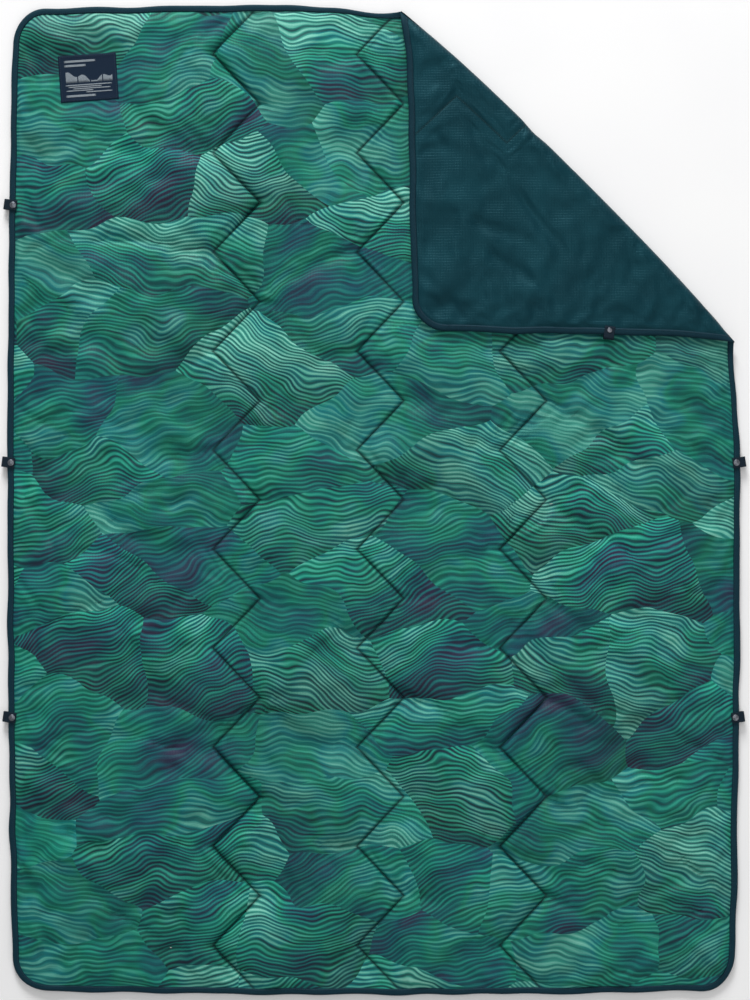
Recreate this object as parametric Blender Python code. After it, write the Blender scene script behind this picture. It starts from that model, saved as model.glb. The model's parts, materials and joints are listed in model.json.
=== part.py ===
"""Quilted camp blanket with a bound edge, six snap loops, and one corner turned over along a diagonal fold.

Frame: +X across the blanket, +Y towards its head end, +Z up. The origin is under the middle of the blanket,
on the surface that it lies on. Every piece is modelled on the open, flat blanket. The corner's pieces are then
cut off at the fold line and turned over about the fold axis, onto the rest of the blanket.
"""

import math

import bmesh
import bpy
from mathutils import Matrix, Vector

MM = 0.001

# The blanket's outline: a rectangle with round corners and slightly bowed sides.
HALF_WIDTH = 677.5 * MM
HALF_LENGTH = 915.0 * MM
CORNER_RADIUS = 64.0 * MM
SIDE_BOW = 0.016  # how much narrower the blanket is at its ends, as a share of its width
END_BOW = 0.009  # how much shorter it is at its sides, as a share of its length
CORNER_STEPS = 6
EDGE_STEPS = 6

# The layers, from the underside up.
LOFT = 15.0 * MM  # full thickness of shells and fill
SHELL = 0.8 * MM
GAP = 0.3 * MM  # between touching pieces
EDGE_HEIGHT = 7.0 * MM  # height of the middle of the sewn edge
SEAM_HALF = 1.6 * MM  # half the thickness of both shells at the sewn edge
RAMP_START = 13.0 * MM  # distances in from the edge, between which the fill grows to its full thickness
RAMP_END = 50.0 * MM
RAMP_STEPS = 3

# The binding tape, folded over the edge.
TAPE = 0.8 * MM
TAPE_WIDTH = 12.0 * MM
TAPE_HALF = SEAM_HALF + GAP + TAPE

# The turned corner.
FOLD_SUM = 978.0 * MM  # the fold line is where x + y has this value
LAYER_GAP = 2.0 * MM  # air between the two layers
FOLD_AXIS_HEIGHT = LOFT + LAYER_GAP / 2

# The quilting: three zig-zag stitch lines along the blanket.
ZIGZAGS = {"left": -254.0 * MM, "centre": 12.0 * MM, "right": 276.0 * MM}
ZIGZAG_HALF = 43.5 * MM
ZIGZAG_PERIODS = 10
THREAD_WIDTH = 1.4 * MM
THREAD_HEIGHT = 0.5 * MM
THREAD_CLEAR = 0.4 * MM
THREAD_STEP = 3.5 * MM

# The woven label.
LABEL_SIZE = (107.0 * MM, 86.0 * MM)
LABEL_CENTRE = (-526.5 * MM, 778.5 * MM)
LABEL_TURN = math.radians(4)
LABEL_THICKNESS = 0.7 * MM
LABEL_CORNER = 2.0 * MM

# The snap loops: a webbing strap round the edge, closed by a snap fastener.
LOOP_PLACES = {"head": 550.0 * MM, "middle": 70.0 * MM, "foot": -405.0 * MM}
LOOP_TILT = math.radians(8)  # the loop leans towards the head end
WEBBING_WIDTH = 19.0 * MM
WEBBING = 1.0 * MM
LEG_LENGTH = 15.0 * MM  # how far the legs reach in from the edge
LOOP_REACH = 10.0 * MM  # how far the bend stands out from the edge
BACK_LEG = -4.0 * MM  # outer faces of the two legs, from the middle of the edge
FRONT_LEG = 6.2 * MM
BEND_STEPS = 5
SNAP_INSET = 7.5 * MM
CAP_RADIUS = 6.0 * MM
CAP_HEIGHT = 1.5 * MM
SHANK_RADIUS = 1.6 * MM
SHANK_HOLE = 2.0 * MM
SOCKET_RADIUS = 5.0 * MM
SOCKET_HOLE = 3.0 * MM
SOCKET_BOTTOM = 3.9 * MM
STUD_BASE_RADIUS = 4.6 * MM
STUD_BASE = 0.6 * MM
STUD_TOP = 4.7 * MM
STUD_NECK_RADIUS = 1.9 * MM
STUD_HEAD_RADIUS = 2.3 * MM
POST_RADIUS = 4.6 * MM
POST_HEIGHT = 0.8 * MM
ROUND_STEPS = 16

SMOOTH_ANGLE = math.radians(35)


def clear_scene():
    for obj in list(bpy.data.objects):
        bpy.data.objects.remove(obj, do_unlink=True)


def make_material(name, colour, roughness, metallic=0.0):
    material = bpy.data.materials.new(name)
    material.use_nodes = True
    shader = material.node_tree.nodes["Principled BSDF"]
    shader.inputs["Base Color"].default_value = (*colour, 1.0)
    shader.inputs["Roughness"].default_value = roughness
    shader.inputs["Metallic"].default_value = metallic
    return material


def add_object(name, mesh_builder, material):
    """Makes an object of a bmesh, with outward faces and smooth round sides."""
    bmesh.ops.recalc_face_normals(mesh_builder, faces=mesh_builder.faces)
    if mesh_builder.calc_volume(signed=True) < 0:
        bmesh.ops.reverse_faces(mesh_builder, faces=mesh_builder.faces)
    mesh = bpy.data.meshes.new(name)
    mesh_builder.to_mesh(mesh)
    mesh_builder.free()
    mesh.shade_smooth()
    mesh.set_sharp_from_angle(angle=SMOOTH_ANGLE)
    mesh.materials.append(material)
    obj = bpy.data.objects.new(name, mesh)
    bpy.context.collection.objects.link(obj)
    return obj


# ---------------------------------------------------------------- outline and thickness


def bowed(x, y):
    """Moves a point of the plain rectangle onto the blanket with its bowed sides."""
    across = 1 - SIDE_BOW * (y / HALF_LENGTH) ** 2
    along = 1 - END_BOW * (x / HALF_WIDTH) ** 2
    return x * across, y * along


def outline(inset):
    """The blanket's outline, counterclockwise, moved in from the edge by inset."""
    width, length = HALF_WIDTH - inset, HALF_LENGTH - inset
    radius = CORNER_RADIUS - inset
    points = []
    corners = ((1, 1), (-1, 1), (-1, -1), (1, -1))
    for quarter, (sx, sy) in enumerate(corners):
        centre_x, centre_y = sx * (width - radius), sy * (length - radius)
        for step in range(CORNER_STEPS + 1):
            angle = math.radians(90) * (quarter + step / CORNER_STEPS)
            points.append((centre_x + radius * math.cos(angle), centre_y + radius * math.sin(angle)))
        last = points[-1]
        next_sx, next_sy = corners[(quarter + 1) % 4]
        next_angle = math.radians(90) * (quarter + 1)
        target = (
            next_sx * (width - radius) + radius * math.cos(next_angle),
            next_sy * (length - radius) + radius * math.sin(next_angle),
        )
        for step in range(1, EDGE_STEPS):
            share = step / EDGE_STEPS
            points.append((last[0] + (target[0] - last[0]) * share, last[1] + (target[1] - last[1]) * share))
    return [bowed(x, y) for x, y in points]


def growth(inset):
    """How far the fill has grown at a distance in from the edge, from 0 to 1, in RAMP_STEPS straight steps."""
    share = min(max((inset - RAMP_START) / (RAMP_END - RAMP_START), 0), 1) * RAMP_STEPS
    step = min(int(share), RAMP_STEPS - 1)
    low, high = (math.sin(math.radians(90) * (step + k) / RAMP_STEPS) for k in (0, 1))
    return low + (high - low) * (share - step)


def top_height(inset):
    low = EDGE_HEIGHT + SEAM_HALF
    return low + (LOFT - low) * growth(inset)


def bottom_height(inset):
    high = EDGE_HEIGHT - SEAM_HALF
    return high * (1 - growth(inset))


def ramp_insets(first):
    """The distances from the edge at which a layer's height changes, from first inwards."""
    insets = [first]
    for step in range(RAMP_STEPS + 1):
        inset = RAMP_START + (RAMP_END - RAMP_START) * step / RAMP_STEPS
        if inset > first:
            insets.append(inset)
    return insets


def edge_distance(x, y):
    """About how far a point of the blanket is from its edge, away from the corners."""
    across = 1 - SIDE_BOW * (y / HALF_LENGTH) ** 2
    along = 1 - END_BOW * (x / HALF_WIDTH) ** 2
    return min(HALF_WIDTH - abs(x) / across, HALF_LENGTH - abs(y) / along)


# ---------------------------------------------------------------- lofted sheets


def loft(rings, closed):
    """A solid through rings of points. It is closed on itself like a tube ring, or by a flat face at both ends."""
    mesh_builder = bmesh.new()
    loops = [[mesh_builder.verts.new(point) for point in ring] for ring in rings]
    pairs = list(zip(loops, loops[1:]))
    if closed:
        pairs.append((loops[-1], loops[0]))
    for low, high in pairs:
        count = len(low)
        for i in range(count):
            j = (i + 1) % count
            mesh_builder.faces.new((low[i], low[j], high[j], high[i]))
    if not closed:
        mesh_builder.faces.new(loops[0])
        mesh_builder.faces.new(loops[-1])
    return mesh_builder


def ring(inset, height):
    return [(x, y, height) for x, y in outline(inset)]


def layer(first, low_height, high_height):
    """A closed sheet between two height functions, from the distance first in from the edge."""
    insets = ramp_insets(first)
    lower = [ring(inset, low_height(inset)) for inset in reversed(insets)]
    upper = [ring(inset, high_height(inset)) for inset in insets]
    return loft(lower + upper, closed=False)


def front_shell():
    return layer(TAPE + GAP, lambda d: top_height(d) - SHELL, top_height)


def back_shell():
    return layer(TAPE + GAP, bottom_height, lambda d: bottom_height(d) + SHELL)


def insulation():
    inner = SHELL + GAP
    return layer(TAPE + GAP, lambda d: bottom_height(d) + inner, lambda d: top_height(d) - inner)


def edge_binding():
    """Tape folded over the edge: a C in section, with its outer corners rounded off."""
    round_off = TAPE
    section = [
        (0.0, -TAPE_HALF + round_off),
        (round_off, -TAPE_HALF),
        (TAPE_WIDTH, -TAPE_HALF),
        (TAPE_WIDTH, -TAPE_HALF + TAPE),
        (TAPE, -TAPE_HALF + TAPE),
        (TAPE, TAPE_HALF - TAPE),
        (TAPE_WIDTH, TAPE_HALF - TAPE),
        (TAPE_WIDTH, TAPE_HALF),
        (round_off, TAPE_HALF),
        (0.0, TAPE_HALF - round_off),
    ]
    return loft([ring(inset, EDGE_HEIGHT + z) for inset, z in section], closed=True)


# ---------------------------------------------------------------- quilting


def zigzag_corners(centre_x):
    """The corners of one stitch line, from the head end to the foot end."""
    half_period = HALF_LENGTH / ZIGZAG_PERIODS
    corners = []
    for k in range(2 * ZIGZAG_PERIODS + 1):
        side = 1 if k % 2 == 0 else -1
        corners.append((centre_x + side * ZIGZAG_HALF, HALF_LENGTH - k * half_period))
    return corners


def thread_stations(corners):
    """Points along a stitch line, close together where the surface slopes, and stopping at the binding."""
    stations = []
    for (x0, y0), (x1, y1) in zip(corners, corners[1:]):
        steps = max(1, round(math.hypot(x1 - x0, y1 - y0) / THREAD_STEP))
        for step in range(steps):
            share = step / steps
            x, y = x0 + (x1 - x0) * share, y0 + (y1 - y0) * share
            near = edge_distance(x, y)
            if near > RAMP_START and (near < RAMP_END + THREAD_STEP or step == 0):
                stations.append((x, y))
    return stations


def quilting_thread(centre_x):
    """One stitch line, as a flat ribbon just above the front shell."""
    stations = thread_stations(zigzag_corners(centre_x))
    half = THREAD_WIDTH / 2
    rings = []
    for i, (x, y) in enumerate(stations):
        before = Vector(stations[max(i - 1, 0)])
        after = Vector(stations[min(i + 1, len(stations) - 1)])
        first = (Vector((x, y)) - before).normalized() if i else (after - Vector((x, y))).normalized()
        last = (after - Vector((x, y))).normalized() if i < len(stations) - 1 else first
        mid = (first + last).normalized()
        side = Vector((-mid.y, mid.x)) * half / mid.dot(first)
        low = top_height(edge_distance(x, y)) + THREAD_CLEAR
        high = low + THREAD_HEIGHT
        rings.append([
            (x - side.x, y - side.y, low),
            (x + side.x, y + side.y, low),
            (x + side.x, y + side.y, high),
            (x - side.x, y - side.y, high),
        ])
    return loft(rings, closed=False)


# ---------------------------------------------------------------- label


def woven_label():
    """A flat woven patch with slightly round corners, sewn on near the head end."""
    half_x, half_y = (size / 2 - LABEL_CORNER for size in LABEL_SIZE)
    place = Matrix.Translation((*LABEL_CENTRE, LOFT + GAP)) @ Matrix.Rotation(LABEL_TURN, 4, "Z")
    points = []
    for quarter, (sx, sy) in enumerate(((1, 1), (-1, 1), (-1, -1), (1, -1))):
        for step in range(4):
            angle = math.radians(90) * (quarter + step / 3)
            x, y = sx * half_x + LABEL_CORNER * math.cos(angle), sy * half_y + LABEL_CORNER * math.sin(angle)
            points.append((x, y))
    rings = [[place @ Vector((x, y, z)) for x, y in points] for z in (0.0, LABEL_THICKNESS)]
    return loft(rings, closed=False)


# ---------------------------------------------------------------- fold


def turned_over():
    """The half turn about the fold axis that lays the corner on the blanket."""
    on_axis = Vector((FOLD_SUM / 2, FOLD_SUM / 2, FOLD_AXIS_HEIGHT))
    turn = Matrix.Rotation(math.pi, 4, Vector((-1, 1, 0)))
    return Matrix.Translation(on_axis) @ turn @ Matrix.Translation(-on_axis)


def cut_at_fold(mesh_builder, keep_corner):
    """Keeps one side of the fold line, and closes the cut."""
    outwards = Vector((1, 1, 0)).normalized()
    offset = outwards * (GAP / 2) * (1 if keep_corner else -1)
    on_line = Vector((FOLD_SUM / 2, FOLD_SUM / 2, 0)) + offset
    bmesh.ops.bisect_plane(
        mesh_builder,
        geom=mesh_builder.verts[:] + mesh_builder.edges[:] + mesh_builder.faces[:],
        dist=1e-7,
        plane_co=on_line,
        plane_no=outwards,
        clear_inner=keep_corner,
        clear_outer=not keep_corner,
    )
    rim = [edge for edge in mesh_builder.edges if edge.is_boundary]
    bmesh.ops.edgeloop_fill(mesh_builder, edges=rim)
    return mesh_builder


def add_folded(name, build, material):
    """A sheet that crosses the fold, as a main piece and a turned corner piece."""
    add_object(name + "_main", cut_at_fold(build(), keep_corner=False), material)
    corner = cut_at_fold(build(), keep_corner=True)
    corner.transform(turned_over())
    add_object(name + "_corner", corner, material)


# ---------------------------------------------------------------- snap loops


def loop_frame(side, y):
    """The frame of one snap loop: +X out of the blanket, +Y along the edge, +Z up, from the middle of the edge."""
    edge_x, edge_y = bowed(side * HALF_WIDTH, y)
    turn = -LOOP_TILT + math.pi if side < 0 else LOOP_TILT
    return Matrix.Translation((edge_x, edge_y, EDGE_HEIGHT)) @ Matrix.Rotation(turn, 4, "Z")


def bend_section(start, end, steps):
    """Outer and inner points round the strap's bend, between two angles from straight out."""
    middle = (FRONT_LEG + BACK_LEG) / 2
    outer = (FRONT_LEG - BACK_LEG) / 2
    centre = LOOP_REACH - outer
    angles = [start + (end - start) * i / steps for i in range(steps + 1)]
    return [
        [(centre + radius * math.cos(a), middle + radius * math.sin(a)) for a in angles]
        for radius in (outer, outer - WEBBING)
    ]


def webbing(section):
    """A strap of the webbing's width with the section given in the loop frame's X and Z."""
    half = WEBBING_WIDTH / 2
    rings = [[(x, y, z) for x, z in section] for y in (-half, half)]
    return loft(rings, closed=False)


def hinge_gap_angle():
    return (GAP / 2) / ((FRONT_LEG - BACK_LEG) / 2)


def strap_section():
    """The leg behind the edge and the lower half of the bend."""
    outer, inner = bend_section(-hinge_gap_angle(), math.radians(-90), BEND_STEPS)
    end = [(-LEG_LENGTH, BACK_LEG), (-LEG_LENGTH, BACK_LEG + WEBBING)]
    return outer + end + inner[::-1]


def tab_section():
    """The leg in front of the edge and the upper half of the bend."""
    outer, inner = bend_section(hinge_gap_angle(), math.radians(90), BEND_STEPS)
    end = [(-LEG_LENGTH, FRONT_LEG), (-LEG_LENGTH, FRONT_LEG - WEBBING)]
    return outer + end + inner[::-1]


def turned_profile(profile):
    """A solid turned about the snap's axis from (radius, height) pairs, which start and end on that axis."""
    mesh_builder = bmesh.new()
    verts = [mesh_builder.verts.new((radius, 0, height)) for radius, height in profile]
    edges = [mesh_builder.edges.new(pair) for pair in zip(verts, verts[1:])]
    bmesh.ops.spin(
        mesh_builder,
        geom=verts + edges,
        cent=(0, 0, 0),
        axis=(0, 0, 1),
        angle=math.tau,
        steps=ROUND_STEPS,
        use_merge=True,
    )
    bmesh.ops.remove_doubles(mesh_builder, verts=mesh_builder.verts, dist=1e-6)
    mesh_builder.transform(Matrix.Translation((-SNAP_INSET, 0, 0)))
    return mesh_builder


def turned_ring(profile):
    """A ring turned about the snap's axis from a closed section of (radius, height) pairs."""
    mesh_builder = bmesh.new()
    loops = []
    for step in range(ROUND_STEPS):
        angle = math.tau * step / ROUND_STEPS
        x, y = math.cos(angle), math.sin(angle)
        loops.append([mesh_builder.verts.new((r * x - SNAP_INSET, r * y, h)) for r, h in profile])
    for low, high in zip(loops, loops[1:] + loops[:1]):
        for i in range(len(profile)):
            j = (i + 1) % len(profile)
            mesh_builder.faces.new((low[i], low[j], high[j], high[i]))
    return mesh_builder


def punch(obj, leg_height, to_frame):
    """Cuts the shank's hole through a leg of the webbing. to_frame takes the loop's frame to the world."""
    cutter = bmesh.new()
    bmesh.ops.create_cone(
        cutter,
        cap_ends=True,
        segments=ROUND_STEPS,
        radius1=SHANK_HOLE,
        radius2=SHANK_HOLE,
        depth=4 * WEBBING,
    )
    cutter.transform(Matrix.Translation((-SNAP_INSET, 0, leg_height)))
    mesh = bpy.data.meshes.new("punch")
    cutter.to_mesh(mesh)
    cutter.free()
    tool = bpy.data.objects.new(obj.name + "_punch", mesh)
    bpy.context.collection.objects.link(tool)
    tool.hide_render = True
    tool.display_type = "WIRE"
    tool.matrix_world = to_frame
    cut = obj.modifiers.new("shank hole", "BOOLEAN")
    cut.operation = "DIFFERENCE"
    cut.solver = "EXACT"
    cut.object = tool


def cap_profile():
    """A low dome with a rolled rim, and its shank through the tab."""
    seat = FRONT_LEG + GAP
    return [
        (0.0, SOCKET_BOTTOM + 0.9 * MM),
        (SHANK_RADIUS, SOCKET_BOTTOM + 0.9 * MM),
        (SHANK_RADIUS, seat),
        (CAP_RADIUS - 0.4 * MM, seat),
        (CAP_RADIUS, seat + 0.3 * MM),
        (CAP_RADIUS, seat + 0.6 * MM),
        (CAP_RADIUS * 0.85, seat + 1.0 * MM),
        (CAP_RADIUS * 0.5, seat + CAP_HEIGHT - 0.15 * MM),
        (0.0, seat + CAP_HEIGHT),
    ]


def socket_profile():
    top = FRONT_LEG - WEBBING - GAP
    return [
        (SOCKET_HOLE, SOCKET_BOTTOM),
        (SOCKET_RADIUS - 0.3 * MM, SOCKET_BOTTOM),
        (SOCKET_RADIUS, SOCKET_BOTTOM + 0.3 * MM),
        (SOCKET_RADIUS, top),
        (SOCKET_HOLE, top),
    ]


def stud_profile():
    base = TAPE_HALF + GAP
    return [
        (0.0, base),
        (STUD_BASE_RADIUS, base),
        (STUD_BASE_RADIUS, base + 0.3 * MM),
        (STUD_BASE_RADIUS - 0.4 * MM, base + STUD_BASE),
        (STUD_NECK_RADIUS, base + STUD_BASE),
        (STUD_NECK_RADIUS, base + STUD_BASE + 0.3 * MM),
        (STUD_HEAD_RADIUS, STUD_TOP - 0.5 * MM),
        (STUD_HEAD_RADIUS - 0.3 * MM, STUD_TOP),
        (0.0, STUD_TOP),
    ]


def post_profile():
    seat = BACK_LEG - GAP
    return [
        (0.0, seat - POST_HEIGHT),
        (POST_RADIUS - 0.9 * MM, seat - POST_HEIGHT),
        (POST_RADIUS, seat - 0.3 * MM),
        (POST_RADIUS, seat),
        (SHANK_RADIUS, seat),
        (SHANK_RADIUS, BACK_LEG + WEBBING),
        (0.0, BACK_LEG + WEBBING),
    ]


def snap_loop(name, side, y, materials):
    """One snap loop. The tab's origin is on its hinge, at the outside of the strap's bend."""
    frame = loop_frame(side, y)
    if edge_is_turned(side, y):
        frame = turned_over() @ frame
    hinge = Vector((LOOP_REACH + GAP / 2, 0, (FRONT_LEG + BACK_LEG) / 2))
    pieces = {
        "strap": (webbing(strap_section()), "webbing", Vector()),
        "tab": (webbing(tab_section()), "webbing", hinge),
        "cap": (turned_profile(cap_profile()), "metal", hinge),
        "socket": (turned_ring(socket_profile()), "metal", hinge),
        "stud": (turned_profile(stud_profile()), "metal", Vector()),
        "post": (turned_profile(post_profile()), "metal", Vector()),
    }
    for kind, (mesh_builder, material, origin) in pieces.items():
        mesh_builder.transform(Matrix.Translation(-origin))
        obj = add_object(f"snap_{name}_{kind}", mesh_builder, materials[material])
        obj.matrix_world = frame @ Matrix.Translation(origin)
        if kind == "strap":
            punch(obj, BACK_LEG + WEBBING / 2, frame)
        if kind == "tab":
            punch(obj, FRONT_LEG - WEBBING / 2, frame)


def edge_is_turned(side, y):
    return side * HALF_WIDTH + y > FOLD_SUM


# ---------------------------------------------------------------- the blanket


def build():
    clear_scene()
    materials = {
        "front": make_material("printed_front_fabric", (0.024, 0.16, 0.135), 0.62),
        "back": make_material("plain_back_fabric", (0.012, 0.035, 0.045), 0.6),
        "fill": make_material("synthetic_fill", (0.85, 0.85, 0.83), 0.95),
        "binding": make_material("binding_tape", (0.012, 0.024, 0.04), 0.7),
        "thread": make_material("stitching_thread", (0.012, 0.05, 0.055), 0.65),
        "label": make_material("label_weave", (0.02, 0.035, 0.065), 0.75),
        "webbing": make_material("loop_webbing", (0.008, 0.012, 0.018), 0.75),
        "metal": make_material("snap_metal", (0.42, 0.42, 0.44), 0.35, metallic=1.0),
    }
    add_folded("back_shell", back_shell, materials["back"])
    add_folded("insulation", insulation, materials["fill"])
    add_folded("front_shell", front_shell, materials["front"])
    add_folded("edge_binding", edge_binding, materials["binding"])
    for name in ("left", "centre"):
        add_object("quilting_thread_" + name, quilting_thread(ZIGZAGS[name]), materials["thread"])
    add_folded("quilting_thread_right", lambda: quilting_thread(ZIGZAGS["right"]), materials["thread"])
    add_object("woven_label", woven_label(), materials["label"])
    for side_name, side in (("left", -1), ("right", 1)):
        for place, y in LOOP_PLACES.items():
            snap_loop(f"{side_name}_{place}", side, y, materials)


build()
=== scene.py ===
"""The looks of the quilted camp blanket: a printed front, a plain back and soft fill.

Soft pieces are shaped on the open, flat blanket, in metres: x across, y towards the head end, z up.
The corner's share is then cut off at the fold line, turned over about its hinge, and laid on the rest.
"""

import json
import math
from contextlib import contextmanager

import bmesh
import bpy
import numpy as np
from mathutils import Matrix, Vector
from mathutils.bvhtree import BVHTree


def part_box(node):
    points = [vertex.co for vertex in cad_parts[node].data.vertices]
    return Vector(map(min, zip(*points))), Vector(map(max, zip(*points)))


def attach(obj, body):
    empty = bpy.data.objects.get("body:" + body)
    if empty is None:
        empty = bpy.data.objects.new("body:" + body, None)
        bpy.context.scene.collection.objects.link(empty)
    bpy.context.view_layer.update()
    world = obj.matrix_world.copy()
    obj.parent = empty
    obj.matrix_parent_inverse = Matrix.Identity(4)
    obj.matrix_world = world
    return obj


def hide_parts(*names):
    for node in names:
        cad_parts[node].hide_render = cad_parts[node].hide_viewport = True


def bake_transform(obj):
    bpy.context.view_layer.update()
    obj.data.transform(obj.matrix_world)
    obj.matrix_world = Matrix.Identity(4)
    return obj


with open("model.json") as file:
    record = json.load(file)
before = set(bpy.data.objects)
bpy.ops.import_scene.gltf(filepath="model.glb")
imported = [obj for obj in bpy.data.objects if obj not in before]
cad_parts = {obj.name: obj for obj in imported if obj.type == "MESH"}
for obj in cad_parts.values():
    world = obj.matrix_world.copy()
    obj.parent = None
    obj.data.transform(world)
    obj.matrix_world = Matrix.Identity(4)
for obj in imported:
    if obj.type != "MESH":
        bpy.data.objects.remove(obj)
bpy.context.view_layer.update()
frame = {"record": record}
MM = 0.001

# ---- sizes, from the frame where it has them

tape_low, tape_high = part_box("edge_binding_main")
HALF_W = -tape_low[0]
HALF_L = tape_high[1]
EDGE_Z = (tape_low[2] + tape_high[2]) / 2
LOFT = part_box("front_shell_main")[1][2]
joints = {joint["name"]: joint for joint in frame["record"]["behaviour"]["joints"]}
FOLD_POINT = Vector(joints["corner_fold"]["pos_m"])
FOLD_SUM = FOLD_POINT.x + FOLD_POINT.y
FOLD_Z = FOLD_POINT.z
ROOT, CORNER = "blanket", "corner"
HOME = {"main": ROOT, "corner": CORNER}  # the body of each half

CORNER_RADIUS = 64 * MM
SIDE_BOW, END_BOW = 0.016, 0.009
TAPE_WIDTH = 12 * MM
TAPE_HALF = 2.7 * MM
SEAMS = (-254 * MM, 12 * MM, 276 * MM)
ZIGZAG = 43.5 * MM
PERIODS = 10
HALF_PERIOD = HALF_L / PERIODS
SEAM_TOP = 5.4 * MM  # heights of the two shells where they are stitched together
SEAM_BOTTOM = 3.4 * MM
PUFF_TOP = 18.5 * MM
ROLL = 24 * MM  # width of the rounded stretch beside the fold
ROLL_TOP = 15.2 * MM
FRONT_OFFSET = 1.4 * MM  # how far inside the back shell the front shell turns at the fold
LABEL_SIZE = (107 * MM, 86 * MM)
LABEL_CENTRE = (-526.5 * MM, 778.5 * MM)
LABEL_TURN = math.radians(4)
LOOP_PLACES = {"head": 550 * MM, "middle": 70 * MM, "foot": -405 * MM}
LOOP_TILT = math.radians(8)
SEAM_CROSSING = -0.27  # where the right-hand seam meets the fold, along the fold
ROWS_PER_HALF = 12  # rows of the shells' mesh for each straight stretch of a seam


# ---- smooth random fields


def waves(points, size, seed, count=36, stretch=(1.0, 1.0), turn=0.0):
    """A smooth random field at (n, 2) points, about -1 to 1, with features about size metres across."""
    rng = np.random.default_rng(seed)
    c, s = math.cos(turn), math.sin(turn)
    x = (points[:, 0] * c + points[:, 1] * s) / stretch[0]
    y = (-points[:, 0] * s + points[:, 1] * c) / stretch[1]
    angle = rng.uniform(0, 2 * math.pi, count)
    rate = rng.uniform(0.6, 1.5, count) * math.pi / size
    phase = rng.uniform(0, 2 * math.pi, count)
    total = np.zeros(len(points))
    for a, k, p in zip(angle, rate, phase):
        total += np.cos(k * (math.cos(a) * x + math.sin(a) * y) + p)
    return total / math.sqrt(count) / 1.2


def smooth(t):
    t = np.clip(t, 0, 1)
    return t * t * (3 - 2 * t)


def bell(distance, width):
    return np.exp(-((distance / width) ** 2))


# ---- the flat blanket


def triangle_wave(y):
    """+1 at the zig-zag's right-hand corners and -1 at its left-hand ones."""
    k = (HALF_L - y) / (2 * HALF_PERIOD)
    return 1 - 4 * np.abs(k - np.round(k))


def zigzag(centre):
    """The corners of a seam, from the head end down."""
    return [
        (centre + ZIGZAG * (1 if k % 2 == 0 else -1), HALF_L - k * HALF_PERIOD)
        for k in range(2 * PERIODS + 1)
    ]


def bowed(x, y):
    """The sides and ends bow in a little towards the blanket's corners."""
    return x * (1 - SIDE_BOW * (y / HALF_L) ** 2), y * (1 - END_BOW * (x / HALF_W) ** 2)


def unbowed(x, y):
    """The plain rectangle's point that bowed() moves to (x, y), near enough."""
    px, py = x.copy(), y.copy()
    for _ in range(4):
        bx, by = bowed(px, py)
        px, py = px + x - bx, py + y - by
    return px, py


def edge_distance(xy):
    """Distance in from the blanket's edge, with its round corners."""
    px, py = unbowed(xy[:, 0], xy[:, 1])
    dx, dy = HALF_W - np.abs(px), HALF_L - np.abs(py)
    inside = np.minimum(dx, dy)
    ux, uy = CORNER_RADIUS - dx, CORNER_RADIUS - dy
    in_corner = (ux > 0) & (uy > 0)
    return np.where(in_corner, CORNER_RADIUS - np.hypot(ux, uy), inside)


def seam_distance(xy):
    """Distance to the nearest quilting seam."""
    best = np.full(len(xy), 1.0)
    for centre in SEAMS:
        corners = zigzag(centre)
        for a, b in zip(corners, corners[1:]):
            a, d = np.array(a), np.array(b) - np.array(a)
            t = np.clip(((xy - a) @ d) / (d @ d), 0, 1)
            best = np.minimum(best, np.linalg.norm(xy - a - t[:, None] * d, axis=1))
    return best


def graded(start, end, count, crowd):
    """Places from start to end, closer together at both ends."""
    t = np.arange(count) / count
    return start + (end - start) * (t - crowd * np.sin(2 * math.pi * t) / (2 * math.pi))


def blanket_grid(inset, step, rows_per_half, crowd):
    """The sheet as a grid whose columns follow the seams. Returns (n, 2) points and the grid's shape."""
    half_w, half_l = HALF_W - inset, HALF_L - inset
    radius = CORNER_RADIUS - inset
    anchors = [-half_w, *SEAMS, half_w]
    spans = zip(anchors, anchors[1:])
    columns = [graded(a, b, max(4, round((b - a) / step)), crowd) for a, b in spans]
    columns = np.concatenate(columns + [[half_w]])
    stops = [half_l] + [HALF_L - k * HALF_PERIOD for k in range(1, 2 * PERIODS)] + [-half_l]
    rows = [np.linspace(a, b, rows_per_half, endpoint=False) for a, b in zip(stops, stops[1:])]
    rows = np.append(np.concatenate(rows), -half_l)[::-1]
    x, y = np.meshgrid(columns, rows)
    fade = 130 * MM
    outer = smooth((x - (SEAMS[0] - fade)) / fade) * smooth(((SEAMS[-1] + fade) - x) / fade)
    between = np.ones_like(x)
    for a, b in zip(SEAMS, SEAMS[1:]):
        share = np.clip((x - a) / (b - a), 0, 1)
        between -= 0.6 * np.sin(math.pi * share) ** 2
    x = x + ZIGZAG * triangle_wave(y) * outer * between
    u = np.clip((np.abs(x) - (half_w - radius)) / radius, 0, 1)
    v = np.clip((np.abs(y) - (half_l - radius)) / radius, 0, 1)
    x = np.sign(x) * (np.minimum(np.abs(x), half_w - radius) + radius * u * np.sqrt(1 - v * v / 2))
    y = np.sign(y) * (np.minimum(np.abs(y), half_l - radius) + radius * v * np.sqrt(1 - u * u / 2))
    x, y = bowed(x, y)
    return np.stack([x.ravel(), y.ravel()], axis=1), x.shape


def grid_faces(shape):
    """Quads between the points of a grid, facing up."""
    rows, columns = shape
    i = np.arange(rows * columns).reshape(shape)
    return np.stack([i[:-1, :-1], i[:-1, 1:], i[1:, 1:], i[1:, :-1]], axis=-1).reshape(-1, 4)


def closed_faces(shape):
    """Faces of a slab with a grid of points above and then the same below, closed all round."""
    quads, count = grid_faces(shape), shape[0] * shape[1]
    grid = np.arange(count).reshape(shape)
    rim = np.concatenate([grid[0, :-1], grid[:-1, -1], grid[-1, :0:-1], grid[:0:-1, 0]])
    sides = [[rim[k - 1] + count, rim[k] + count, rim[k], rim[k - 1]] for k in range(len(rim))]
    return quads.tolist() + (quads[:, ::-1] + count).tolist() + sides


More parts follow.
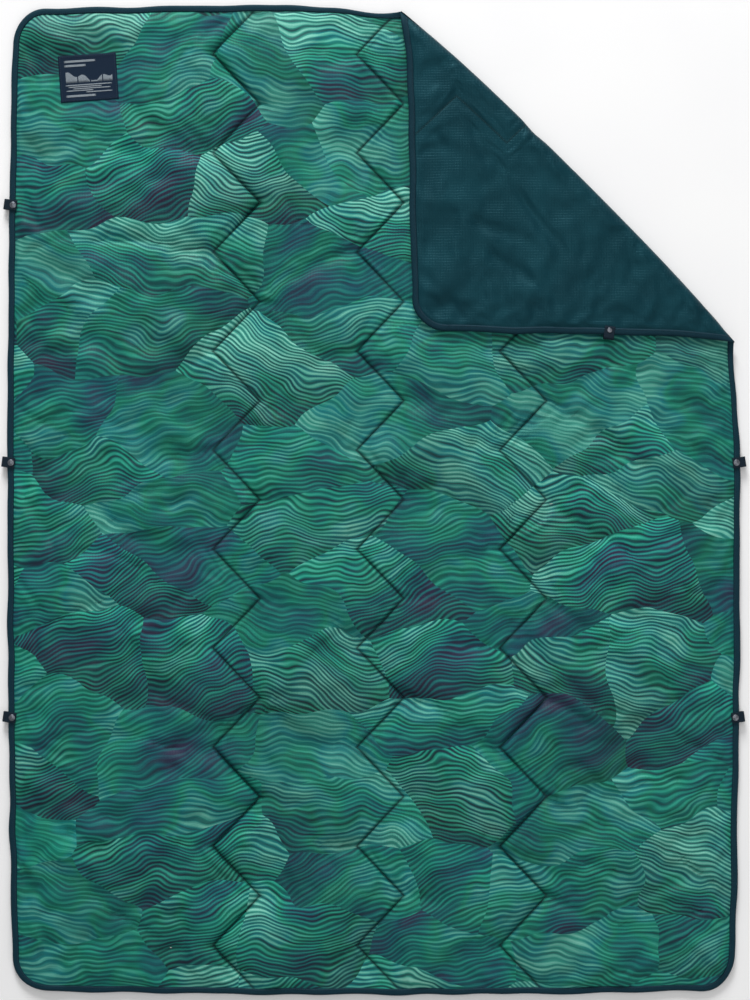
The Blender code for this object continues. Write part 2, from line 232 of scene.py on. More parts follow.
def tube_faces(base, rings, around, caps=True):
    """Quads between rings of points that follow one another, and a face at each end."""
    faces = []
    for ring in range(rings - 1):
        for k in range(around):
            a, b = base + ring * around + k, base + ring * around + (k + 1) % around
            faces.append([a, b, b + around, a + around])
    if caps:
        faces.append([base + k for k in range(around)][::-1])
        faces.append([base + (rings - 1) * around + k for k in range(around)])
    return faces


def run_along(path):
    """The distance covered at each point of a path."""
    return np.concatenate([[0], np.cumsum(np.linalg.norm(np.diff(path, axis=0), axis=1))])


# ---- puffs and creases


# where creases start on the turned corner's two edges and inside it, in metres on the flat blanket
FLAP_PUCKERS_TOP = (0.30, 0.345, 0.396, 0.4425, 0.475, 0.507, 0.535, 0.563, 0.60, 0.627)
FLAP_PUCKERS_SIDE = (0.83, 0.765, 0.69, 0.63, 0.585, 0.50, 0.43, 0.37)
FLAP_FOLDS = ((0.53, 0.76, -62), (0.47, 0.79, -75), (0.43, 0.70, -35))
# direction in degrees (mean, spread), length in metres and depth in millimetres (least, most)
STRONG_CREASE = ((-38, 9), (0.16, 0.24), (6.0, 8.0))
SOFT_CREASE = ((-4, 13), (0.09, 0.19), (3.0, 6.0))


def crease_lines():
    """Creases that run out of the zig-zags' corners: start, direction, length, depth and curl of each."""
    rng = np.random.default_rng(11)
    lines = []
    for centre in SEAMS:
        for k, (x, y) in enumerate(zigzag(centre)[1:-1], 1):
            right = k % 2 == 0
            kind = STRONG_CREASE if right and centre == SEAMS[-1] else SOFT_CREASE
            lean = rng.normal(*kind[0])
            length, depth = rng.uniform(*kind[1]), rng.uniform(*kind[2])
            angle = math.radians(lean if right else 180 - lean)
            lines.append((x, y, angle, length, depth * MM, rng.uniform(-1.6, 1.6)))
    return lines


def flap_crease_lines():
    """Creases that run in from the turned corner's two edges, on the plain back."""
    rng = np.random.default_rng(17)
    lines = []
    starts = [(x, HALF_L - 16 * MM, -90, 14, 0.12) for x in FLAP_PUCKERS_TOP]
    starts += [(HALF_W - 16 * MM, y, 208, 16, 0.13) for y in FLAP_PUCKERS_SIDE]
    for x, y, lean, spread, longest in starts:
        angle, length = math.radians(lean + rng.normal(0, spread)), rng.uniform(0.05, longest)
        lines.append((x, y, angle, length, rng.uniform(4.5, 7) * MM, rng.uniform(-2, 2)))
    for x, y, turn in FLAP_FOLDS:
        lines.append((x, y, math.radians(turn), rng.uniform(0.12, 0.17), 6.5 * MM, rng.uniform(-2, 2)))
    return lines


def creases(xy, lines):
    """How far the surface sinks into creases, each given by its start, direction, length, depth and curl."""
    sink = np.zeros(len(xy))
    for x, y, angle, length, depth, curl in lines:
        c, s = math.cos(angle), math.sin(angle)
        dx, dy = xy[:, 0] - x, xy[:, 1] - y
        along = dx * c + dy * s
        across = -dx * s + dy * c - curl * along * np.abs(along)
        share = np.clip(along / length, 0, 1)
        width = (7 + 12 * share) * MM
        fade = np.where(along > 0, (1 - share) ** 1.2, bell(along, 10 * MM))
        sink = np.maximum(sink, depth * fade * bell(across, width))
    return sink


def label_hold(xy):
    """1 under the label, fading to 0 around it."""
    dx, dy = xy[:, 0] - LABEL_CENTRE[0], xy[:, 1] - LABEL_CENTRE[1]
    c, s = math.cos(-LABEL_TURN), math.sin(-LABEL_TURN)
    out_x = np.abs(dx * c - dy * s) - LABEL_SIZE[0] / 2
    out_y = np.abs(dx * s + dy * c) - LABEL_SIZE[1] / 2
    return 1 - smooth(np.maximum(out_x, out_y) / (30 * MM))


def under_flap(xy):
    """1 where the turned corner lies on the front, and on the corner itself, fading to 0 around them."""
    past = past_fold(xy)
    turned = np.stack([FOLD_SUM - xy[:, 1], FOLD_SUM - xy[:, 0]], axis=1)
    covered = smooth(1 + edge_distance(turned) / (45 * MM))
    return np.maximum(smooth(1 + past / (30 * MM)), covered)


def beside(distance, near, far, share):
    """Rises from 0 at a seam to 1 away from it: steeply first, then slowly."""
    return share * (1 - np.exp(-distance / near)) + (1 - share) * (1 - np.exp(-distance / far))


def on_corner(xy):
    """1 on the part that is turned over, fading to 0 at the fold."""
    return smooth(past_fold(xy) / (45 * MM))


VALLEYS = ((14, 0.075, -32, 5.5), (16, 0.06, 18, 3.5), (18, 0.09, -55, 4.0))  # seed, size, turn, depth


def valleys(xy):
    """Long, narrow and winding valleys, as loose cloth has between its soft swells."""
    depth = np.zeros(len(xy))
    for seed, size, turn, deep in VALLEYS:
        field = waves(xy, size, seed, stretch=(2.6, 1.0), turn=math.radians(turn))
        here = smooth(waves(xy, 0.10, seed + 1) + 0.45)
        depth = np.maximum(depth, deep * MM * here * bell(field, 0.17))
    return depth


def flap_ceiling(xy):
    """The room that the turned corner leaves above the front, with a hollow under its snap loop."""
    away = np.hypot(xy[:, 0] - (FOLD_SUM - LOOP_PLACES["head"]), xy[:, 1] - (FOLD_SUM - HALF_W))
    return LOFT - 0.3 * MM - 3.5 * MM * bell(away, 38 * MM)


def front_height(xy):
    """Height of the printed front, before its fine wrinkles."""
    seams, rim = seam_distance(xy), np.maximum(edge_distance(xy) - TAPE_WIDTH, 0)
    seam = beside(seams, 3.2 * MM, 22 * MM, 0.40)
    edge = beside(rim, 3.5 * MM, 22 * MM, 0.25)
    top = PUFF_TOP + 1.8 * MM * waves(xy, 0.16, 1) + 1.6 * MM * waves(xy, 0.07, 2)
    diagonal = 3.0 * MM * waves(xy, 0.042, 3, stretch=(4.0, 1.0), turn=math.radians(-30))
    diagonal = diagonal + 1.6 * MM * waves(xy, 0.022, 12, stretch=(5.0, 1.0), turn=math.radians(24))
    outside = smooth((np.abs(xy[:, 0] - SEAMS[1]) - 0.30) / 0.08)
    top = top + diagonal * (0.3 + 0.7 * outside) - valleys(xy) * (0.35 + 0.65 * outside)
    pucker = waves(xy, 0.013, 8) * np.exp(-seams / (16 * MM)) * (1 - np.exp(-seams / (4 * MM)))
    top = top + 2.2 * MM * pucker + 1.4 * MM * waves(xy, 0.014, 9) * np.exp(-rim / (26 * MM))
    low = np.where(rim + TAPE_WIDTH < seams, EDGE_Z + 1.5 * MM, SEAM_TOP + 3 * MM * on_corner(xy))
    z = low + (top - low) * seam * edge - creases(xy, crease_lines()) * seam ** 0.5 * edge
    z = np.maximum(z, low - 0.5 * MM)
    flat = 15.5 * MM + 0.5 * MM * waves(xy, 0.1, 4)
    hold = label_hold(xy)
    z = z * (1 - hold) + flat * hold
    return z - under_flap(xy) * np.maximum(z - flap_ceiling(xy), 0)


def back_height(xy):
    """Height of the plain back. It is flat where it rests, and rises at the seams and the edge."""
    seams, rim = seam_distance(xy), np.maximum(edge_distance(xy) - TAPE_WIDTH, 0)
    turned = on_corner(xy)
    seam = 1 - beside(seams, 3.0 * MM, 20 * MM, 0.4)
    edge = 1 - beside(rim, 3 * MM, 20 * MM, 0.3)
    folds = 0.9 * MM * (1 + waves(xy, 0.07, 5)) + 0.5 * MM * (1 + waves(xy, 0.03, 6))
    inner = turned * (1 - np.exp(-rim / (70 * MM)))
    folds = folds + 2.2 * MM * inner * (1.5 + waves(xy, 0.085, 10, stretch=(2.6, 1), turn=math.radians(-50)))
    puckers = 1.2 * MM * (1 - 0.8 * turned) * np.exp(-rim / (45 * MM)) * (1 + waves(xy, 0.020, 7))
    base = folds + puckers + 0.2 * MM
    at_seam = SEAM_BOTTOM + 3 * MM * turned
    z = base + (at_seam - base) * seam + creases(xy, flap_crease_lines()) * (1 - seam) * (1 - edge)
    return z + (EDGE_Z - 1.5 * MM - z) * edge


# ---- cloth simulation


CLOTH = {
    "quality": 4,
    "mass": 0.08,
    "tension_stiffness": 12,
    "compression_stiffness": 12,
    "shear_stiffness": 4,
    "bending_stiffness": 0.03,
    "pin_stiffness": 1.0,
    "use_pressure": True,
}


def simulate(points, faces, heights, held, excess, pressure, frames, hold, seed):
    """The sheet as cloth cut larger than its space, blown up softly and held at its seams."""
    mesh = bpy.data.meshes.new("cloth_start")
    jitter = np.random.default_rng(seed).normal(0, 0.15 * MM, len(points))
    start = np.column_stack([points, heights + jitter])
    mesh.from_pydata(start.tolist(), [], faces.tolist())
    cloth = bpy.data.objects.new("cloth_start", mesh)
    bpy.context.scene.collection.objects.link(cloth)
    group = cloth.vertex_groups.new(name="held")
    group.add(np.flatnonzero(held).tolist(), 1.0, "REPLACE")
    group.add(np.flatnonzero(~held).tolist(), hold, "REPLACE")
    modifier = cloth.modifiers.new("cloth", "CLOTH")
    settings = modifier.settings
    for key, value in CLOTH.items():
        setattr(settings, key, value)
    settings.vertex_group_mass = "held"
    settings.shrink_min = -excess
    settings.uniform_pressure_force = pressure
    settings.effector_weights.gravity = 0
    modifier.collision_settings.use_collision = False
    modifier.collision_settings.use_self_collision = False
    modifier.point_cache.frame_start = 1
    modifier.point_cache.frame_end = frames
    for number in range(1, frames + 1):
        bpy.context.scene.frame_set(number)
    shown = cloth.evaluated_get(bpy.context.evaluated_depsgraph_get())
    moved = shown.to_mesh()
    result = np.zeros(len(points) * 3)
    moved.vertices.foreach_get("co", result)
    shown.to_mesh_clear()
    bpy.data.objects.remove(cloth, do_unlink=True)
    bpy.data.meshes.remove(mesh)
    bpy.context.scene.frame_set(1)
    return result.reshape(-1, 3)


# ---- edge, roll, fold and lay


def edge_waves(points):
    """The sewn edge isn't quite straight: small waves in plan and height, fading in from the edge."""
    xy = points[:, :2]
    near = np.exp(-np.maximum(edge_distance(xy), 0) / (35 * MM))
    for y in LOOP_PLACES.values():
        near = near * (1 - bell(xy[:, 1] - y, 28 * MM))
    points = points.copy()
    points[:, 0] += near * 1.5 * MM * waves(xy, 0.06, 21)
    points[:, 1] += near * 1.5 * MM * waves(xy, 0.06, 22)
    points[:, 2] += near * 0.9 * MM * waves(xy, 0.05, 23)
    return points


def past_fold(points):
    """Signed distance past the fold line."""
    return (points[:, 0] + points[:, 1] - FOLD_SUM) / math.sqrt(2)


def roll(points):
    """Beside the fold the underside curves up to meet the front, as the rounded outside of the fold."""
    past = np.abs(past_fold(points))
    share = np.clip(1 - past / ROLL, 0, 1)
    lift = (ROLL_TOP - 0.5 * MM) * (1 - np.sqrt(1 - share * share))
    points = points.copy()
    z = np.minimum(points[:, 2], ROLL_TOP) * smooth(share * 3) + points[:, 2] * (1 - smooth(share * 3))
    points[:, 2] = lift + z * (1 - lift / ROLL_TOP)
    return points


def shift_front(points, corner):
    """The front shell turns just inside the back shell."""
    share = np.clip(1 - np.abs(past_fold(points)) / ROLL, 0, 1) * FRONT_OFFSET / math.sqrt(2)
    points = points.copy()
    points[:, :2] += share[:, None] * (1 if corner else -1)
    return points


def turn_over(points):
    """The half turn about the fold's hinge that lays the corner on the blanket."""
    return np.column_stack([FOLD_SUM - points[:, 1], FOLD_SUM - points[:, 0], 2 * FOLD_Z - points[:, 2]])


def droop(points, flat):
    """The turned corner's free edge sinks onto what is below it."""
    past = np.abs(past_fold(flat))
    near = np.exp(-np.maximum(edge_distance(flat[:, :2]), 0) / (30 * MM))
    near = near * (1 - bell(flat[:, 1] - LOOP_PLACES["head"], 30 * MM))
    points = points.copy()
    points[:, 2] -= 3.0 * MM * near * smooth(past / (90 * MM))
    return points


def draw_in(points):
    """The fold's line draws in towards both of its ends."""
    past = past_fold(points)
    along = (points[:, 0] - points[:, 1]) / math.sqrt(2)
    middle = (HALF_W - HALF_L) / math.sqrt(2)
    half = (HALF_W + HALF_L - FOLD_SUM) / math.sqrt(2)
    share = (along - middle) / half
    amount = (1.5 + 6.5 * share ** 2 + 10 * share ** 4) * np.where(share < 0, 1.12, 0.92) * MM
    amount += 2.5 * MM * bell(along - SEAM_CROSSING, 22 * MM)
    amount = amount * bell(np.minimum(past, 0), 75 * MM) / math.sqrt(2)
    points = points.copy()
    points[:, :2] -= amount[:, None]
    return points


def laid(flat, corner, front=False):
    """The place at rest of points on the flat blanket."""
    points = roll(edge_waves(flat))
    if front:
        points = shift_front(points, corner)
    if corner:
        points = droop(turn_over(points), flat)
    return draw_in(points)


# ---- making pieces


def new_piece(name, mesh, material):
    mesh.materials.append(material)
    piece = bpy.data.objects.new(name, mesh)
    bpy.context.scene.collection.objects.link(piece)
    return piece


def flat_mesh(name, points, faces):
    """A mesh of flat points, which keeps their x and y as the UV map fabric."""
    mesh = bpy.data.meshes.new(name)
    mesh.from_pydata(np.asarray(points).tolist(), [], [list(map(int, face)) for face in faces])
    set_fabric_uv(mesh)
    return mesh


def set_fabric_uv(mesh, places=None):
    """Lays the UV map fabric out by the flat (x, y) of each vertex: its own, or the one in places."""
    layer = mesh.uv_layers.get("fabric") or mesh.uv_layers.new(name="fabric")
    corners = np.zeros(len(mesh.loops), np.int32)
    mesh.loops.foreach_get("vertex_index", corners)
    if places is None:
        places = vertices_of(mesh)[:, :2]
    layer.data.foreach_set("uv", places[corners].astype(np.float32).ravel())


def vertices_of(mesh):
    points = np.zeros(len(mesh.vertices) * 3)
    mesh.vertices.foreach_get("co", points)
    return points.reshape(-1, 3)


def set_vertices(mesh, points):
    mesh.vertices.foreach_set("co", np.asarray(points, np.float32).ravel())
    mesh.update()


@contextmanager
def editing(mesh, into=None):
    """Opens a mesh for changes, and writes them back to it or into another mesh."""
    builder = bmesh.new()
    builder.from_mesh(mesh)
    yield builder
    builder.to_mesh(into or mesh)
    builder.free()


OUTWARDS = Vector((1, 1, 0)).normalized()


def cut(builder, past, keep=None):
    """Cuts along the line that lies past the fold line by a distance. keep is None or a half."""
    bmesh.ops.bisect_plane(
        builder,
        geom=builder.verts[:] + builder.edges[:] + builder.faces[:],
        dist=1e-6,
        plane_co=Vector((FOLD_SUM / 2, FOLD_SUM / 2, 0)) + OUTWARDS * past,
        plane_no=OUTWARDS,
        clear_inner=keep == "corner",
        clear_outer=keep == "main",
    )


ROLL_CUTS = (0, 15, 30, 45, 57, 68, 78)  # degrees round the roll, where its mesh gets lines


def cut_half(name, mesh, side, back=0.0, finish=None):
    """One half of a flat mesh, cut off back from the fold line, with lines beside the fold for its roll."""
    half = bpy.data.meshes.new(f"{name}_{side}")
    sign = -1 if side == "main" else 1
    with editing(mesh, half) as builder:
        for angle in ROLL_CUTS:
            cut(builder, sign * ROLL * (1 - math.sin(math.radians(angle))))
        cut(builder, sign * back, keep=side)
        if finish:
            finish(builder)
    return half


def lay_half(half, side, material, front=False):
    """Makes a flat half into a piece at its place at rest, on its own body."""
    set_vertices(half, laid(vertices_of(half), side == "corner", front))
    half.shade_smooth()
    piece = new_piece(half.name, half, material)
    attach(piece, HOME[side])
    return piece


def folded_pieces(name, mesh, material, front=False):
    """Both halves of a flat mesh, and the web: the narrow strip that turns in the fold."""
    made = {}
    for side in HOME:
        half = cut_half(name, mesh, side)
        flat = vertices_of(half)
        made[side] = lay_half(half, side, material, front)
        if side == "main":
            made["web"] = fold_web(name, half, flat, material)
    return made


WEB_STEPS = 10


def fold_web(name, half, flat, material):
    """The strip in the fold, between the main piece's cut edge and the corner's, made in its shape at rest.
    """
    on_line = np.abs(flat[:, 0] + flat[:, 1] - FOLD_SUM) < 2e-5
    points = vertices_of(half)
    builder = bmesh.new()
    builder.from_mesh(half)
    rim = [e for e in builder.edges if e.is_boundary and all(on_line[v.index] for v in e.verts)]
    edges = [tuple(v.index for v in e.verts) for e in rim]
    builder.free()
    used = sorted({i for edge in edges for i in edge})
    place = {v: k for k, v in enumerate(used)}
    count = len(used)
    rings, places = [], []
    for step in range(WEB_STEPS + 1):
        share = step / WEB_STEPS
        ring = points[used].copy()
        ring[:, 2] = ring[:, 2] * (1 - share) + (2 * FOLD_Z - ring[:, 2]) * share
        rings.append(ring)
        places.append(flat[used][:, :2] + (share - 0.5) * 2 * MM)
    faces = []
    for step in range(WEB_STEPS):
        for a, b in edges:
            low, high = step * count, (step + 1) * count
            faces.append([low + place[a], low + place[b], high + place[b], high + place[a]])
    mesh = bpy.data.meshes.new(name + "_fold")
    mesh.from_pydata(np.concatenate(rings).tolist(), [], faces)
    set_fabric_uv(mesh, np.concatenate(places))
    mesh.shade_smooth()
    piece = new_piece(name + "_fold", mesh, material)
    start, end = FOLD_POINT.copy(), FOLD_POINT.copy()
    start.z, end.z = FOLD_Z - 0.8 * MM, FOLD_Z + 0.8 * MM
    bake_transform(piece)
    return piece


# ---- materials

PATCH_SIZE = (0.235, 0.125)  # of the print's patches, across and along the blanket
LINE_RATE = (104.0, 30.0)  # the print's lines per metre: the fewest, and how many more a patch can have
RIPSTOP_PITCH = 5 * MM
WEAVE_RATE = 1500.0
# the print's colours in 8-bit sRGB, from its darkest patches to its lightest
PRINT_GROUND = [
    (0.24, (40, 46, 74)),
    (0.34, (8, 74, 88)),
    (0.46, (4, 96, 92)),
    (0.53, (8, 112, 90)),
    (0.60, (4, 108, 112)),
    (0.70, (44, 132, 118)),
]
PRINT_LIGHT = [(0.30, (26, 116, 118)), (0.5, (44, 160, 136)), (0.70, (124, 192, 174))]
PRINT_DARK = [(0.30, (38, 28, 52)), (0.42, (22, 36, 54)), (0.52, (6, 44, 50)), (0.70, (20, 62, 66))]


class Nodes:
    """Builds one material's node tree."""

    def __init__(self, name):
        self.material = bpy.data.materials.new(name)
        self.material.use_nodes = True
        self.tree = self.material.node_tree
        self.shader = self.tree.nodes["Principled BSDF"]

    def set(self, **values):
        for key, value in values.items():
            self.shader.inputs[key.replace("_", " ")].default_value = value

    def feed(self, node, inputs):
        for key, value in inputs.items():
            if isinstance(value, bpy.types.NodeSocket):
                self.tree.links.new(value, node.inputs[key])
            else:
                node.inputs[key].default_value = value

    def add(self, kind, inputs=None, **settings):
        node = self.tree.nodes.new(kind)
        for key, value in settings.items():
            setattr(node, key, value)
        self.feed(node, inputs or {})
        return node

    def math(self, operation, a, b=0.0, c=0.0):
        return self.add("ShaderNodeMath", {0: a, 1: b, 2: c}, operation=operation).outputs[0]

    def mul(self, a, b):
        return self.math("MULTIPLY", a, b)

    def mul_add(self, a, b, c):
        return self.math("MULTIPLY_ADD", a, b, c)

    def plus(self, a, b):
        return self.math("ADD", a, b)

    def vector(self, operation, a, b):
        inputs = {0: a, "Scale": b} if operation == "SCALE" else {0: a, 1: b}
        return self.add("ShaderNodeVectorMath", inputs, operation=operation).outputs[0]

    def parts(self, vector):
        return self.add("ShaderNodeSeparateXYZ", {0: vector}).outputs

    def joined(self, x, y, z=0.0):
        return self.add("ShaderNodeCombineXYZ", {0: x, 1: y, 2: z}).outputs[0]

    def fabric(self):
        return self.add("ShaderNodeUVMap", uv_map="fabric").outputs[0]

    def noise(self, vector, scale, detail=2.0, rough=0.5, output="Fac", space="2D"):
        inputs = {"Vector": vector, "Scale": scale, "Detail": detail, "Roughness": rough}
        return self.add("ShaderNodeTexNoise", inputs, noise_dimensions=space).outputs[output]

    def ramp(self, fac, stops):
        node = self.add("ShaderNodeValToRGB", {0: fac})
        ramp = node.color_ramp
        while len(ramp.elements) < len(stops):
            ramp.elements.new(0.5)
        for element, (place, colour) in zip(ramp.elements, stops):
            element.position = place
            element.color = (*srgb(colour), 1)
        return node.outputs[0]

    def mix(self, fac, a, b):
        node = self.add("ShaderNodeMix", data_type="RGBA", clamp_factor=True)
        self.feed(node, {0: fac, 6: a, 7: b})
        return node.outputs[2]

    def bump(self, height, strength, distance):
        inputs = {"Height": height, "Strength": strength, "Distance": distance}
        return self.add("ShaderNodeBump", inputs).outputs[0]

    def link(self, output, name):
        self.tree.links.new(output, self.shader.inputs[name])


def srgb(colour):
    """Linear values of an 8-bit sRGB colour."""
    return tuple((c / 255 / 12.92) if c <= 10 else ((c / 255 + 0.055) / 1.055) ** 2.4 for c in colour)


def ripstop_bump(n, uv):
    """A fine plain weave with a grid of heavier ripstop threads."""
    lines = []
    for axis in (0, 1):
        saw = n.math("PINGPONG", n.parts(uv)[axis], RIPSTOP_PITCH / 2)
        lines.append(n.math("SMOOTH_MAX", n.math("SUBTRACT", 0.35 * MM, saw), 0.0, 0.1 * MM))
    height = n.mul_add(n.noise(uv, WEAVE_RATE, 1.0), 0.10 * MM, n.plus(*lines))
    return n.bump(height, 0.5, 1.0)


def shell_fabric(n, uv, colour, share, seam_shade_colour, rough):
    """Ripstop cloth, with painted shade darkening its colour along the seams."""
    # the seam value mixes painted shade into the cloth's colour, up to the given share
    seam = n.add("ShaderNodeAttribute", attribute_name="seam").outputs["Fac"]
    n.link(n.mix(n.mul(seam, share), colour, (*srgb(seam_shade_colour), 1)), "Base Color")
    n.link(rough, "Roughness")
    n.link(ripstop_bump(n, uv), "Normal")


def print_patches(n, uv):
    """The print's patches: each has random values of its own, and coordinates from its own middle."""
    drift = n.noise(uv, 3.4, output="Color")
    warp = n.vector("SCALE", n.vector("SUBTRACT", drift, (0.5, 0.5, 0.5)), 0.16)
    place = n.vector("MULTIPLY", n.vector("ADD", uv, warp), (1 / PATCH_SIZE[0], 1 / PATCH_SIZE[1], 1))
    inputs = {"Vector": place, "Scale": 1.0, "Randomness": 0.95}
    cells = n.add("ShaderNodeTexVoronoi", inputs, voronoi_dimensions="2D").outputs
    random = n.add("ShaderNodeSeparateColor", {0: cells["Color"]}).outputs
    return random, n.parts(n.vector("SUBTRACT", place, cells["Position"]))


def print_lines(n, uv, random, local):
    """Counts the print's wavy lines: a line's middle is at every whole number. Also returns the flat x."""
    flat = n.parts(uv)
    phase = n.mul_add(flat[0], 30.0, n.mul(random[0], 20.0))
    wave = n.mul(n.math("SINE", phase), n.mul_add(random[1], 0.012, 0.002))
    lean = n.mul(n.mul_add(random[2], 0.9, -0.45), flat[0])
    arch = n.mul(n.mul(local[0], local[0]), n.mul_add(random[0], 0.10, -0.05))
    wander = n.mul(n.noise(uv, 11.0, 1.0), 0.045)
    level = n.plus(n.plus(flat[1], wave), n.plus(lean, n.plus(arch, wander)))
    return n.mul(level, n.mul_add(random[1], LINE_RATE[1], LINE_RATE[0])), flat[0]


def print_wash(n, count, across, random, fade):
    """The slow change of tone that chooses the print's colours."""
    at = n.joined(n.mul(across, 7.0), n.mul(count, 0.085), n.mul(random[0], 37.0))
    wash = n.noise(at, 1.0, space="3D")
    return n.plus(wash, n.mul_add(random[2], 0.18, n.mul_add(fade, 0.12, -0.07)))


def print_ink(n, count, across, random):
    """How light (above 0) or dark (below 0) the wavy lines are, with streaks and brush marks."""
    line = n.math("SINE", n.mul(count, 2 * math.pi))
    streak = n.noise(n.joined(n.mul(count, 0.8), n.mul(across, 6.0)), 1.0, 3.0, 0.6)
    brush = n.noise(n.joined(n.mul(count, 3.4), n.mul(across, 11.0)), 1.0, 2.0, 0.7)
    lines = n.mul_add(streak, 1.35, n.mul_add(line, 0.50, -0.64))
    lines = n.mul(lines, n.mul_add(random[1], 0.75, 0.35))
    return n.plus(lines, n.mul_add(brush, 0.7, -0.35))


def print_material():
    """The printed front: overlapping patches of fine wavy lines in teals and greens."""
    n = Nodes("printed_front")
    uv = n.fabric()
    random, local = print_patches(n, uv)
    count, across = print_lines(n, uv, random, local)
    slope = n.mul(local[0], n.mul_add(random[0], 1.6, -0.8))
    fade = n.plus(slope, n.mul(local[1], n.mul_add(random[1], 1.6, -0.3)))
    wash = print_wash(n, count, across, random, fade)
    ink = print_ink(n, count, across, random)
    light = n.mul(n.math("MAXIMUM", ink, 0.0), 1.5)
    dark = n.mul(n.math("MAXIMUM", n.mul(ink, -1.0), 0.0), 1.7)
    colour = n.mix(light, n.ramp(wash, PRINT_GROUND), n.ramp(wash, PRINT_LIGHT))
    colour = n.mix(dark, colour, n.ramp(wash, PRINT_DARK))
    dim = n.add("ShaderNodeClamp", {0: n.mul_add(fade, 0.62, 1.0), 1: 0.58, 2: 1.35}).outputs[0]
    rough = n.mul_add(n.noise(uv, 40.0), 0.16, 0.50)
    # (6, 36, 42) is the painted shade along the seams, mixed in at up to 0.7
    shell_fabric(n, uv, n.vector("SCALE", colour, dim), 0.7, (6, 36, 42), rough)
    n.set(Specular_IOR_Level=0.22)
    return n.material


def back_material():
    """The plain back fabric, with faint cloudy changes of tone."""
    n = Nodes("plain_back")
    uv = n.fabric()
    colour = n.ramp(n.noise(uv, 14.0, 3.0), [(0.3, (3, 36, 46)), (0.7, (8, 46, 56))])
    rough = n.mul_add(n.noise(uv, 60.0), 0.14, 0.35)
    # (2, 18, 24) is the painted shade along the seams, mixed in at up to 0.6
    shell_fabric(n, uv, colour, 0.6, (2, 18, 24), rough)
    n.set(Specular_IOR_Level=0.4, Specular_Tint=(0.25, 0.8, 0.95, 1))
    return n.material


def woven(name, light, dark, rib, roughness):
    """Tape or webbing: ribs across its length, and a mottled yarn."""
    n = Nodes(name)
    uv = n.fabric()
    ribs = n.math("SINE", n.mul(n.parts(uv)[1], 2 * math.pi / rib))
    yarn = n.noise(uv, 900.0)
    n.link(n.ramp(n.mul_add(ribs, 0.12, yarn), [(0.3, dark), (0.75, light)]), "Base Color")
    n.link(n.bump(n.mul_add(ribs, 0.06 * MM, n.mul(yarn, 0.08 * MM)), 0.8, 1.0), "Normal")
    n.link(n.mul_add(yarn, 0.2, roughness - 0.1), "Roughness")
    n.set(Specular_IOR_Level=0.2, Specular_Tint=(0.5, 0.85, 1.0, 1))
    return n.material


def speckled(name, dark, light, noise, ends=(0.3, 0.7), bump=None, rough=None, **values):
    """A colour that follows a fine noise of (scale, detail), as the bump and the roughness can too."""
    n = Nodes(name)
    coords = n.add("ShaderNodeTexCoord").outputs["Object"]
    fac = n.noise(coords, *noise, space="3D")
    n.link(n.ramp(fac, [(ends[0], dark), (ends[1], light)]), "Base Color")
    if bump:
        n.link(n.bump(fac, *bump), "Normal")
    if rough:
        n.link(n.mul_add(fac, *rough), "Roughness")
    n.set(**values)
    return n.material


def thread_material(name, light, dark):
    return speckled(
        name, dark, light, (1200.0, 1.0), bump=(0.4, 0.1 * MM), Roughness=0.55, Specular_IOR_Level=0.4
    )


PRINT = print_material()
BACK = back_material()
TAPE = woven("binding_tape", (20, 54, 66), (8, 32, 44), 1.1 * MM, 0.6)
WEBBING = woven("loop_webbing", (30, 40, 52), (14, 20, 30), 1.3 * MM, 0.7)
SEAM_THREAD = thread_material("quilting_thread", (16, 58, 62), (6, 34, 38))
EDGE_THREAD = thread_material("edge_thread", (40, 66, 80), (24, 42, 56))
METAL = speckled(
    "snap_nickel", (84, 88, 96), (136, 140, 148), (420.0, 4.0), ends=(0.25, 0.75),
    bump=(0.15, 0.1 * MM), rough=(0.25, 0.2), Metallic=1.0,
)
FILL = speckled(
    "fibre_fill", (214, 214, 208), (240, 240, 236), (160.0, 5.0), bump=(0.6, 0.6 * MM), Roughness=0.95
)
FLOOR = speckled(
    "studio_floor", (246, 246, 247), (250, 250, 250), (3.0, 2.0), Roughness=0.9, Specular_IOR_Level=0.1
)
LABEL = woven("label_weave", (24, 36, 58), (14, 24, 42), 0.9 * MM, 0.7)
LABEL_THREAD = thread_material("label_thread", (158, 168, 176), (112, 124, 134))

# ---- shells and fill


EDGE_INSET = 5 * MM
points, shape = blanket_grid(EDGE_INSET, 6.6 * MM, ROWS_PER_HALF, 0.74)
faces = grid_faces(shape)


def cloth_offsets(height, upwards, **cloth):
    """How far simulated cloth moves from the heights, carried from an even grid to the fine one."""
    even, even_shape = blanket_grid(EDGE_INSET, 7.6 * MM, ROWS_PER_HALF, 0.1)
    quads = grid_faces(even_shape)
    start = height(even)
    held = (seam_distance(even) < 0.5 * MM) | (edge_distance(even) < TAPE_WIDTH + 0.5 * MM)
    moved = simulate(even, quads if upwards else quads[:, ::-1], start, held, **cloth)
    off = (moved - np.column_stack([even, start])).reshape(*even_shape, 3)
    coarse_x, fine_x = even[:, 0].reshape(even_shape), points[:, 0].reshape(shape)
    rows = range(shape[0])
    moves = [[np.interp(fine_x[r], coarse_x[r], off[r, :, k]) for k in range(3)] for r in rows]
    return np.transpose(np.array(moves), (0, 2, 1)).reshape(-1, 3)


def shaped_sheet(height, upwards, low, high, **cloth):
    """A sheet's flat points with their heights, from its shape and the cloth simulation."""
    result = np.column_stack([points, height(points)])
    off = cloth_offsets(height, upwards, **cloth)
    rim = np.maximum(edge_distance(points) - TAPE_WIDTH, 0)
    free = (1 - np.exp(-seam_distance(points) / (8 * MM))) * (1 - np.exp(-rim / (8 * MM)))
    free = free * (1 - label_hold(points))
    wander = 4 * MM
    off = np.clip(off, -wander, wander)
    result = result + off * free[:, None]
    result[:, 2] = np.clip(result[:, 2], low, high)
    return result


